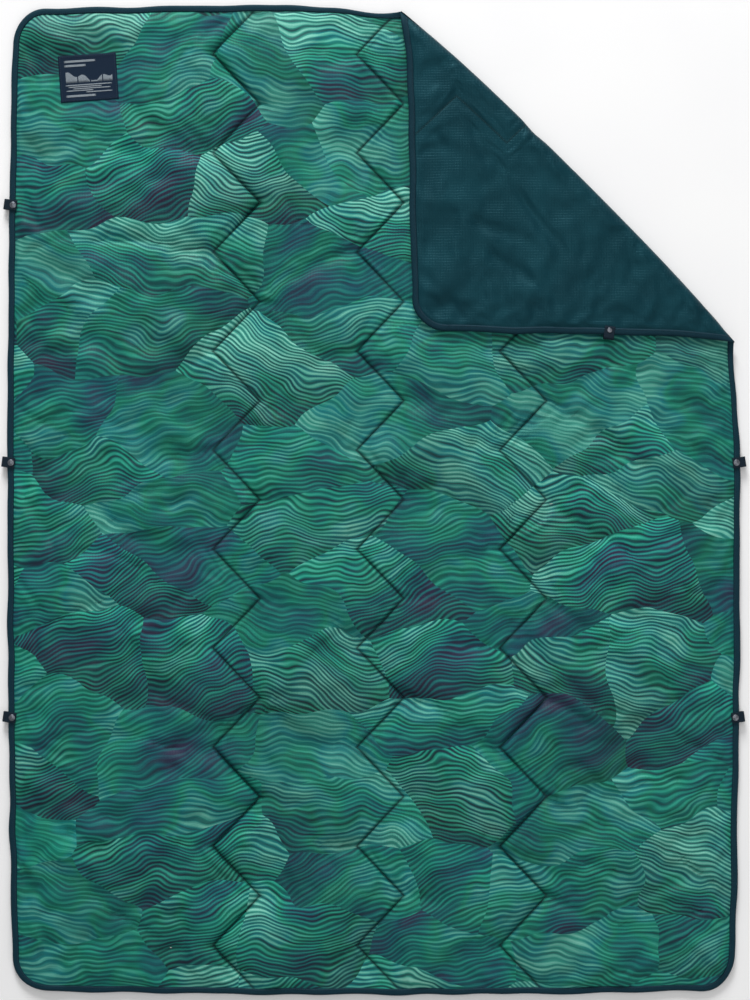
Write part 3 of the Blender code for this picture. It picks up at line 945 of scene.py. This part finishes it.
def sheet_mesh(name, flat, faces):
    """A shell's mesh, with a value that is 1 in its seams, where the material paints shade into the cloth's
    colour.
    """
    mesh = flat_mesh(name, flat, faces)
    set_fabric_uv(mesh, points)
    # painted shade along the seams, fading out within a few millimetres
    seam = bell(seam_distance(points), 2.6 * MM)
    layer = mesh.attributes.new("seam", "FLOAT", "POINT")
    layer.data.foreach_set("value", seam.astype(np.float32))
    return mesh


flap = under_flap(points)
ceiling = 27 * MM * (1 - flap) + flap_ceiling(points) * flap
back_flat = shaped_sheet(
    back_height, False, 0.3 * MM, 11 * MM, excess=0.03, pressure=0.10, frames=14, hold=0.08, seed=32
)
least = back_flat[:, 2] + SEAM_TOP - SEAM_BOTTOM - 0.1 * MM
front_flat = shaped_sheet(
    front_height, True, least, ceiling, excess=0.035, pressure=0.12, frames=16, hold=0.05, seed=31
)

front_mesh = sheet_mesh("front_sheet", front_flat, faces)
front = folded_pieces("front_sheet", front_mesh, PRINT, front=True)
back_mesh = sheet_mesh("back_sheet", back_flat, faces[:, ::-1])
back = folded_pieces("back_sheet", back_mesh, BACK)
front_surface = BVHTree.FromPolygons(front_flat.tolist(), faces.tolist())
back_surface = BVHTree.FromPolygons(back_flat.tolist(), faces.tolist())


def surface_height(surface, x, y, missing=EDGE_Z):
    hit = surface.ray_cast(Vector((x, y, 0.1)), Vector((0, 0, -1)))
    return hit[0].z if hit[0] is not None else missing


def highest_near(values, reach):
    """The highest value among each grid point's neighbours."""
    grid = values.reshape(shape)
    padded = np.pad(grid, reach, mode="edge")
    best = grid
    for i in range(2 * reach + 1):
        for j in range(2 * reach + 1):
            best = np.maximum(best, padded[i:i + shape[0], j:j + shape[1]])
    return best.ravel()


def wall_off(builder):
    """Closes the cut end of the fill with a strip between its top and bottom."""
    rim = {v for e in builder.edges if e.is_boundary for v in e.verts}
    rim = sorted(rim, key=lambda v: (round(v.co.x - v.co.y, 6), v.co.z))
    pairs = [(rim[k], rim[k + 1]) for k in range(0, len(rim) - 1, 2)]
    for (low_a, high_a), (low_b, high_b) in zip(pairs, pairs[1:]):
        builder.faces.new((low_a, low_b, high_b, high_a))
    bmesh.ops.recalc_face_normals(builder, faces=builder.faces)


def fill_pieces():
    """The fill between the shells, on every second column of the grid."""
    rows, columns = shape
    pick = np.unique(np.append(np.arange(0, columns, 2), columns - 1))
    index = (np.arange(rows)[:, None] * columns + pick[None, :]).ravel()
    gap, least = 1.4 * MM, 0.3 * MM
    front_z, back_z = front_flat[:, 2], back_flat[:, 2]
    top, bottom = front_flat[index].copy(), back_flat[index].copy()
    high, low = -highest_near(-front_z, 3)[index], highest_near(back_z, 3)[index]
    middle = (highest_near(back_z, 1)[index] - highest_near(-front_z, 1)[index]) / 2
    pinched = high - low < 2 * gap + least
    top[:, 2] = np.where(pinched, middle + least / 2, high - gap)
    bottom[:, 2] = np.where(pinched, middle - least / 2, low + gap)
    mesh = flat_mesh("fill", np.concatenate([top, bottom]), closed_faces((rows, len(pick))))
    made = {}
    for side in HOME:
        piece = lay_half(cut_half("fill", mesh, side, 3 * MM, wall_off), side, FILL)
        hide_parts(f"insulation_{side}")
        made[side] = piece
    return made


fill = fill_pieces()

# ---- binding


CORNER_STEPS = 24
STRETCH_STEPS = 24  # route points on each straight stretch of a seam


def outline(inset, step):
    """Evenly spaced points at a distance in from the blanket's edge, and how far round each of them is."""
    width, length, radius = HALF_W - inset, HALF_L - inset, CORNER_RADIUS - inset
    path = []
    for quarter, (sx, sy) in enumerate(((1, 1), (-1, 1), (-1, -1), (1, -1))):
        cx, cy = sx * (width - radius), sy * (length - radius)
        for k in range(CORNER_STEPS + 1):
            angle = math.radians(90) * (quarter + k / CORNER_STEPS)
            path.append((cx + radius * math.cos(angle), cy + radius * math.sin(angle)))
    path = np.array(path + [path[0]])
    run, girth = run_along(path), 2 * HALF_W + 2 * HALF_L
    count = round(girth / step)
    at = np.arange(count) / count * run[-1]
    x, y = bowed(np.interp(at, run, path[:, 0]), np.interp(at, run, path[:, 1]))
    return np.stack([x, y], axis=1), at * girth / run[-1]


def binding_pieces():
    """Tape folded over the edge: a rounded C in section, with small puckers across it."""
    step, inside = 4.5 * MM, TAPE_HALF - 0.8 * MM
    section = [(TAPE_WIDTH, TAPE_HALF), (TAPE_WIDTH * 0.72, TAPE_HALF + 0.35 * MM)]
    section += [(TAPE_WIDTH * 0.42, TAPE_HALF + 0.45 * MM), (TAPE_WIDTH * 0.2, TAPE_HALF + 0.05 * MM)]
    section += [(0.7 * MM, TAPE_HALF * 0.62), (0.0, 0.0)]
    section += [(d, -z) for d, z in reversed(section[:-1])]
    section += [(TAPE_WIDTH, -inside), (1.6 * MM, -inside), (1.6 * MM, inside), (TAPE_WIDTH, inside)]
    rings = []
    for inset, height in section:
        xy, at = outline(inset, step)
        z = np.full(len(xy), EDGE_Z + height)
        if abs(height) >= TAPE_HALF * 0.6:
            side = 1 if height > 0 else -1
            pucker = waves(np.stack([at, np.full(len(at), 0.5 * side)], axis=1), 0.011, 41, stretch=(1, 50))
            z = z + side * 0.45 * MM * pucker * math.sin(math.pi * min(inset / TAPE_WIDTH, 0.75))
        rings.append(np.column_stack([xy, z]))
    count, loops = len(rings[0]), len(rings)
    faces = tube_faces(0, loops + 1, count, caps=False)
    faces = [[i % (loops * count) for i in face] for face in faces]
    mesh = flat_mesh("binding", np.concatenate(rings), faces)
    with editing(mesh) as builder:
        bmesh.ops.recalc_face_normals(builder, faces=builder.faces)
    across = np.repeat([inset for inset, _ in section], count)
    along = np.tile(outline(0, step)[1], loops)
    set_fabric_uv(mesh, np.stack([across, along], axis=1))
    return folded_pieces("binding", mesh, TAPE)


binding = binding_pieces()

# ---- stitches


RINGS, SIDES = 3, 5  # of one stitch


def stitch_rows(routes, pitch, length, thick):
    """Short threads along each route, a list of (n, 3) flat points. Returns flat vertices and faces."""
    vertices, faces = [], []
    for route in routes:
        route = np.asarray(route)
        run = run_along(route)
        for number in range(int(run[-1] / pitch)):
            base = len(vertices)
            at = [(number + 0.5) * pitch + share * length for share in (-0.5, 0, 0.5)]
            places = np.column_stack([np.interp(at, run, route[:, k]) for k in range(3)])
            way = places[2] - places[0]
            way /= max(np.linalg.norm(way), 1e-9)
            side = np.cross(way, (0, 0, 1))
            side /= max(np.linalg.norm(side), 1e-9)
            for place, size, rise in zip(places, (0.45, 1.0, 0.45), (-0.5, 0.5, -0.5)):
                for turn in range(SIDES):
                    angle = 2 * math.pi * turn / SIDES
                    out = side * math.cos(angle) + np.array((0, 0, 1)) * math.sin(angle)
                    vertices.append(place + (out * size + np.array((0, 0, rise))) * thick / 2)
            faces += tube_faces(base, RINGS, SIDES)
    return np.array(vertices), faces


def seam_route(centre, surface, lift):
    """Points along a seam at a height above a shell, from tape to tape."""
    route = []
    corners = zigzag(centre)
    for (x0, y0), (x1, y1) in zip(corners, corners[1:]):
        for step in range(STRETCH_STEPS):
            share = step / STRETCH_STEPS
            x, y = x0 + (x1 - x0) * share, y0 + (y1 - y0) * share
            if edge_distance(np.array([[x, y]]))[0] > TAPE_WIDTH:
                route.append((x, y, surface_height(surface, x, y) + lift))
    return route


def split_stitches(name, vertices, faces, material, front):
    """Stitches as one piece each side of the fold. A stitch on the fold line itself is left out."""
    per = RINGS * SIDES
    made = {}
    stitches = vertices.reshape(-1, per, 3)
    past = past_fold(stitches.mean(axis=1))
    each = len(faces) // len(stitches)
    for side, pick in (("main", past < -1.5 * MM), ("corner", past > 1.5 * MM)):
        pick = np.flatnonzero(pick)
        if not len(pick):
            continue
        here = []
        for new, old in enumerate(pick):
            for face in faces[old * each:(old + 1) * each]:
                here.append([i + (new - old) * per for i in face])
        mesh = flat_mesh(f"{name}_{side}", stitches[pick].reshape(-1, 3), here)
        made[side] = lay_half(mesh, side, material, front)
    return made


def all_stitches():
    """The quilting on both shells, and the row that holds each side of the tape."""
    made = {}
    for word, centre in zip(("left", "centre", "right"), SEAMS):
        for face_name, surface, sign in (("front", front_surface, 1), ("back", back_surface, -1)):
            route = seam_route(centre, surface, sign * 0.25 * MM)
            rows = stitch_rows([route], 4.2 * MM, 3.3 * MM, 0.8 * MM)
            name = f"quilt_stitch_{word}_{face_name}"
            made[name] = split_stitches(name, *rows, SEAM_THREAD, face_name == "front")
    xy, _ = outline(TAPE_WIDTH - 2.2 * MM, 4 * MM)
    ring = np.vstack([xy, xy[:1]])
    for face_name, sign in (("front", 1), ("back", -1)):
        route = np.column_stack([ring, np.full(len(ring), EDGE_Z + sign * (TAPE_HALF + 0.45 * MM))])
        rows = stitch_rows([route], 3.8 * MM, 2.9 * MM, 0.6 * MM)
        name = f"edge_stitch_{face_name}"
        made[name] = split_stitches(name, *rows, EDGE_THREAD, False)
    return made


stitches = all_stitches()

# ---- label


def label_rim(u, v):
    """0 at the label's middle and 1 at its edge."""
    return max(abs(u) / (LABEL_SIZE[0] / 2), abs(v) / (LABEL_SIZE[1] / 2))


def label_point(u, v, lift):
    """A point on the label: u and v in metres from its middle, lift above the sheet under it."""
    c, t = math.cos(LABEL_TURN), math.sin(LABEL_TURN)
    x, y = LABEL_CENTRE[0] + u * c - v * t, LABEL_CENTRE[1] + u * t + v * c
    around = [(x + i * 3 * MM, y + j * 3 * MM) for i in (-1, 0, 1) for j in (-1, 0, 1)]
    top = max(surface_height(front_surface, *place) for place in around)
    turned_down = 0.3 * MM * max(0, label_rim(u, v) - 0.93) / 0.07
    return Vector((x, y, top + 0.35 * MM + lift - turned_down))


def label_patch():
    """The woven label's cloth, with a folded hem all round."""
    columns, rows = 50, 42
    thick = 0.5 * MM
    vertices, places = [], []
    for level in (1, 0):
        for j in range(rows + 1):
            for i in range(columns + 1):
                u, v = (i / columns - 0.5) * LABEL_SIZE[0], (j / rows - 0.5) * LABEL_SIZE[1]
                hem = 0.25 * MM if 0.85 < label_rim(u, v) < 0.99 else 0.0
                vertices.append(tuple(label_point(u, v, (thick + hem) * level)))
                places.append((u, v))
    mesh = flat_mesh("label_patch", vertices, closed_faces((rows + 1, columns + 1)))
    set_fabric_uv(mesh, np.array(places))
    mesh.shade_smooth()
    return new_piece("label_patch", mesh, LABEL)


def tubes(name, routes, thick, material, sides=6):
    """Round threads along routes of 3-D points, flattened a little onto the cloth."""
    vertices, faces = [], []
    for route in routes:
        base, last = len(vertices), len(route) - 1
        for k, place in enumerate(route):
            way = (Vector(route[min(k + 1, last)]) - Vector(route[max(k - 1, 0)])).normalized()
            side = way.cross(Vector((0, 0, 1))).normalized()
            size = 0.5 if k in (0, last) else 1.0
            for turn in range(sides):
                angle = 2 * math.pi * turn / sides
                out = side * math.cos(angle) + Vector((0, 0, 0.7)) * math.sin(angle)
                vertices.append(tuple(Vector(place) + out * size * thick / 2))
        faces += tube_faces(base, last + 1, sides)
    mesh = flat_mesh(name, vertices, faces)
    mesh.shade_smooth()
    return new_piece(name, mesh, material)


def run_on_label(start, end, lift=0.62 * MM):
    """A straight route over the label between two of its (u, v) points."""
    steps = max(2, round(math.dist(start, end) / (4 * MM)))
    shares = [k / steps for k in range(steps + 1)]
    flat = [(start[0] + (end[0] - start[0]) * t, start[1] + (end[1] - start[1]) * t) for t in shares]
    return [label_point(u, v, lift) for u, v in flat]


def label_motif():
    """A plain generic picture in rows of thread: hills behind a lake, between bars without lettering."""
    routes = []
    left, row, base = -43 * MM, 0.95 * MM, -8 * MM
    for top, right in ((33 * MM, 15 * MM), (25 * MM, -3 * MM), (-31 * MM, 12 * MM)):
        for k in range(4):
            routes.append(run_on_label((left, top - k * row), (right, top - k * row)))
    for column in range(88):
        u = (-43 + column) * MM
        hill = 7 * math.sin(column / 13 + 0.6) + 5 * math.sin(column / 5.2 + 1)
        if column % 23 > 1:
            routes.append(run_on_label((u, base), (u, base + max(3.0, 10 + hill) * MM)))
    for k, (start, end) in enumerate(((-43, 43), (-38, 24), (-30, 40), (-42, 8), (-6, 43))):
        for double in (0, 1):
            v = (-12 - 3.4 * k - 0.9 * double) * MM
            routes.append(run_on_label((start * MM, v), (end * MM, v)))
    return tubes("label_motif", routes, 0.95 * MM, LABEL_THREAD)


def label_border():
    """Dashes of stitching just inside the label's edge."""
    half_u, half_v = LABEL_SIZE[0] / 2 - 3 * MM, LABEL_SIZE[1] / 2 - 3 * MM
    corners = [(-half_u, -half_v), (half_u, -half_v), (half_u, half_v), (-half_u, half_v)]
    routes = []
    for a, b in zip(corners, corners[1:] + corners[:1]):
        count = round(math.dist(a, b) / (3.6 * MM))
        for k in range(count):
            t0, t1 = (k + 0.1) / count, (k + 0.85) / count
            start = (a[0] + (b[0] - a[0]) * t0, a[1] + (b[1] - a[1]) * t0)
            end = (a[0] + (b[0] - a[0]) * t1, a[1] + (b[1] - a[1]) * t1)
            routes.append(run_on_label(start, end, 0.85 * MM))
    return tubes("label_border_stitch", routes, 0.6 * MM, EDGE_THREAD)


label = label_patch()
motif = label_motif()
border = label_border()
for piece in (label, motif, border):
    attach(piece, ROOT)
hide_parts("woven_label")

# ---- snap loops

WEBBING_HALF = 9.5 * MM
CAP_X = -7.5 * MM
SNAP_PROFILES = {  # (radius, z) in millimetres, z from the middle of the tape
    "cap": (
        (0, 6.2), (5.6, 6.2), (6.0, 6.35), (6.0, 6.8), (5.7, 7.15), (5.0, 7.35), (4.6, 7.3), (4.1, 7.5),
        (3.0, 7.8), (1.6, 7.96), (0, 8.0),
    ),
    "socket": (
        (3.0, 5.2), (3.0, 4.2), (3.2, 3.95), (3.6, 3.9), (4.0, 4.1), (4.5, 4.05), (5.0, 4.4), (5.0, 5.2),
        (3.0, 5.2),
    ),
    "stud": (
        (0, 3.0), (4.6, 3.0), (4.6, 3.3), (4.2, 3.6), (2.4, 3.6), (1.9, 3.8), (1.9, 4.1), (2.3, 4.35),
        (2.2, 4.6), (1.7, 4.7), (0, 4.7),
    ),
    "post": (
        (0, -5.1), (4.0, -5.1), (4.6, -4.9), (4.6, -4.5), (4.3, -4.3), (1.6, -4.3), (1.6, 3.0), (0, 3.0),
    ),
}


def strip(name, path, material, thick=1.0 * MM):
    """Webbing along a path of (x, z) middle points in the loop's own frame, with thinner woven edges."""
    across = [-1.0, -0.97, -0.9, -0.6, -0.2, 0.2, 0.6, 0.9, 0.97, 1.0]
    vertices, places = [], []
    run = 0.0
    last = len(path) - 1
    for k, (x, z) in enumerate(path):
        x0, z0 = path[max(k - 1, 0)]
        x1, z1 = path[min(k + 1, last)]
        length = math.hypot(x1 - x0, z1 - z0)
        nx, nz = -(z1 - z0) / length, (x1 - x0) / length
        run += math.dist((x, z), path[max(k - 1, 0)])
        end = 0.82 if k in (0, last) else 1.0
        for sign in (1, -1):
            for t in across[::sign]:
                half = thick / 2 * (0.35 if abs(t) == 1.0 else 0.8 if abs(t) > 0.95 else 1.0) * end
                vertices.append((x + sign * nx * half, t * WEBBING_HALF, z + sign * nz * half))
                places.append((t * WEBBING_HALF, run))
    return finished(name, vertices, tube_faces(0, last + 1, 2 * len(across)), material, places)


def lathe(name, profile, centre, material, steps=40):
    """A round part about a vertical axis, from (radius, z) points; a radius of 0 closes it."""
    vertices = []
    for radius, z in profile:
        for k in range(steps):
            angle = 2 * math.pi * k / steps
            vertices.append((centre + radius * math.cos(angle), radius * math.sin(angle), z))
    return finished(name, vertices, tube_faces(0, len(profile), steps, caps=False), material)


def finished(name, vertices, faces, material, places=None):
    """A smooth mesh without doubled points, its normals outwards."""
    mesh = flat_mesh(name, vertices, faces)
    if places is not None:
        set_fabric_uv(mesh, np.array(places))
    with editing(mesh) as builder:
        bmesh.ops.remove_doubles(builder, verts=builder.verts, dist=1e-6)
        bmesh.ops.recalc_face_normals(builder, faces=builder.faces)
    mesh.shade_smooth()
    mesh.materials.append(material)
    return mesh


def bend(start, end, centre, radius, steps):
    """Middle points of the webbing's bend, angles in degrees from straight outwards."""
    angles = [math.radians(start + (end - start) * k / steps) for k in range(steps + 1)]
    return [(centre[0] + radius * math.cos(a), centre[1] + radius * math.sin(a)) for a in angles]


def loop_meshes():
    """One loop's pieces in its own frame: x outwards, z up, the origin on the blanket's edge."""
    centre, radius = (4.9 * MM, 1.1 * MM), 4.6 * MM
    back_leg = [((-15 + 2 * k) * MM, -3.5 * MM) for k in range(10)]
    front_leg = [((4.9 - 2 * k) * MM, 5.7 * MM) for k in range(1, 10)] + [(-14.8 * MM, 5.7 * MM)]
    strap = back_leg + bend(-90, -4, centre, radius, 12)
    tab = bend(4, 90, centre, radius, 12) + front_leg
    meshes = {"strap": strip("loop_strap", strap, WEBBING), "tab": strip("loop_tab", tab, WEBBING)}
    for part, profile in SNAP_PROFILES.items():
        profile = [(radius * MM, z * MM) for radius, z in profile]
        meshes[part] = lathe(f"loop_{part}", profile, CAP_X, METAL)
    return meshes


def loop_place(side, y):
    """The loop's frame on the flat blanket, and on the turned corner for the head end's right-hand one."""
    x, y = bowed(np.array([side * HALF_W]), np.array([y]))
    turn = LOOP_TILT if side > 0 else math.pi - LOOP_TILT
    place = Matrix.Translation((x[0], y[0], EDGE_Z)) @ Matrix.Rotation(turn, 4, "Z")
    if x[0] + y[0] < FOLD_SUM:
        return place, False
    half_turn = Matrix.Rotation(math.pi, 4, Vector((-1, 1, 0)).normalized())
    return Matrix.Translation(FOLD_POINT) @ half_turn @ Matrix.Translation(-FOLD_POINT) @ place, True


def snap_loops():
    """All six loops. A tab carries its cap and socket; the rest stays with the blanket or its corner."""
    meshes = loop_meshes()
    for side, hand in ((-1, "left"), (1, "right")):
        for word, y in LOOP_PLACES.items():
            place, turned = loop_place(side, y)
            home = CORNER if turned else ROOT
            for part, mesh in meshes.items():
                piece = bpy.data.objects.new(f"loop_{hand}_{word}_{part}", mesh.copy())
                piece.data.transform(place)
                bpy.context.scene.collection.objects.link(piece)
                moves = part in ("tab", "cap", "socket")
                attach(piece, f"tab_{hand}_{word}" if moves else home)
                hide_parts(f"snap_{hand}_{word}_{part}")


snap_loops()

# ---- hiding the CAD nodes that the sheets, binding and stitches stand for

for side in HOME:
    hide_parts(f"front_shell_{side}")
    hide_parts(f"back_shell_{side}")
    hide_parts(f"edge_binding_{side}")
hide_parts("quilting_thread_left")
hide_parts("quilting_thread_centre")
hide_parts("quilting_thread_right_main")
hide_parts("quilting_thread_right_corner")

# ---- camera, floor and light


LENS, SENSOR = 85, 36  # millimetres
SEEN = 1.848  # metres of the blanket that the picture's long side takes in
LAMPS = (  # name, place, size and power, each aimed at the origin
    ("key", (-0.8, 6.8, 3.2), 2.6, 540),
    ("fill", (2.4, -2.2, 3.4), 3.0, 24),
    ("overhead", (0.0, 0.6, 4.8), 3.0, 32),
)


def add_camera():
    """Straight above the blanket, as in the photo."""
    camera_data = bpy.data.cameras.new("camera")
    camera = bpy.data.objects.new("camera", camera_data)
    bpy.context.scene.collection.objects.link(camera)
    camera_data.lens = LENS
    camera_data.sensor_width = SENSOR
    camera_data.clip_end = 50
    camera.location = (0.0023, -0.0005, SEEN * LENS / SENSOR + 0.008)
    bpy.context.scene.camera = camera


def add_floor():
    floor_mesh = bpy.data.meshes.new("floor")
    with editing(floor_mesh) as builder:
        bmesh.ops.create_grid(builder, x_segments=8, y_segments=8, size=9)
    floor = new_piece("floor", floor_mesh, FLOOR)
    floor.location.z = -0.4 * MM


def add_light():
    """A soft key from beyond the head end, two weaker lamps and a pale surround."""
    for name, place, size, power in LAMPS:
        lamp_data = bpy.data.lights.new(name, "AREA")
        lamp_data.size = size
        lamp_data.energy = power
        lamp = bpy.data.objects.new(name, lamp_data)
        bpy.context.scene.collection.objects.link(lamp)
        lamp.location = place
        lamp.rotation_euler = (-Vector(place)).to_track_quat("-Z", "Y").to_euler()
    world = bpy.data.worlds.new("studio")
    bpy.context.scene.world = world
    world.use_nodes = True
    background = world.node_tree.nodes["Background"]
    background.inputs[0].default_value = (1, 1, 1, 1)
    background.inputs[1].default_value = 0.36
    bpy.context.scene.view_settings.view_transform = "Standard"


add_camera()
add_floor()
add_light()
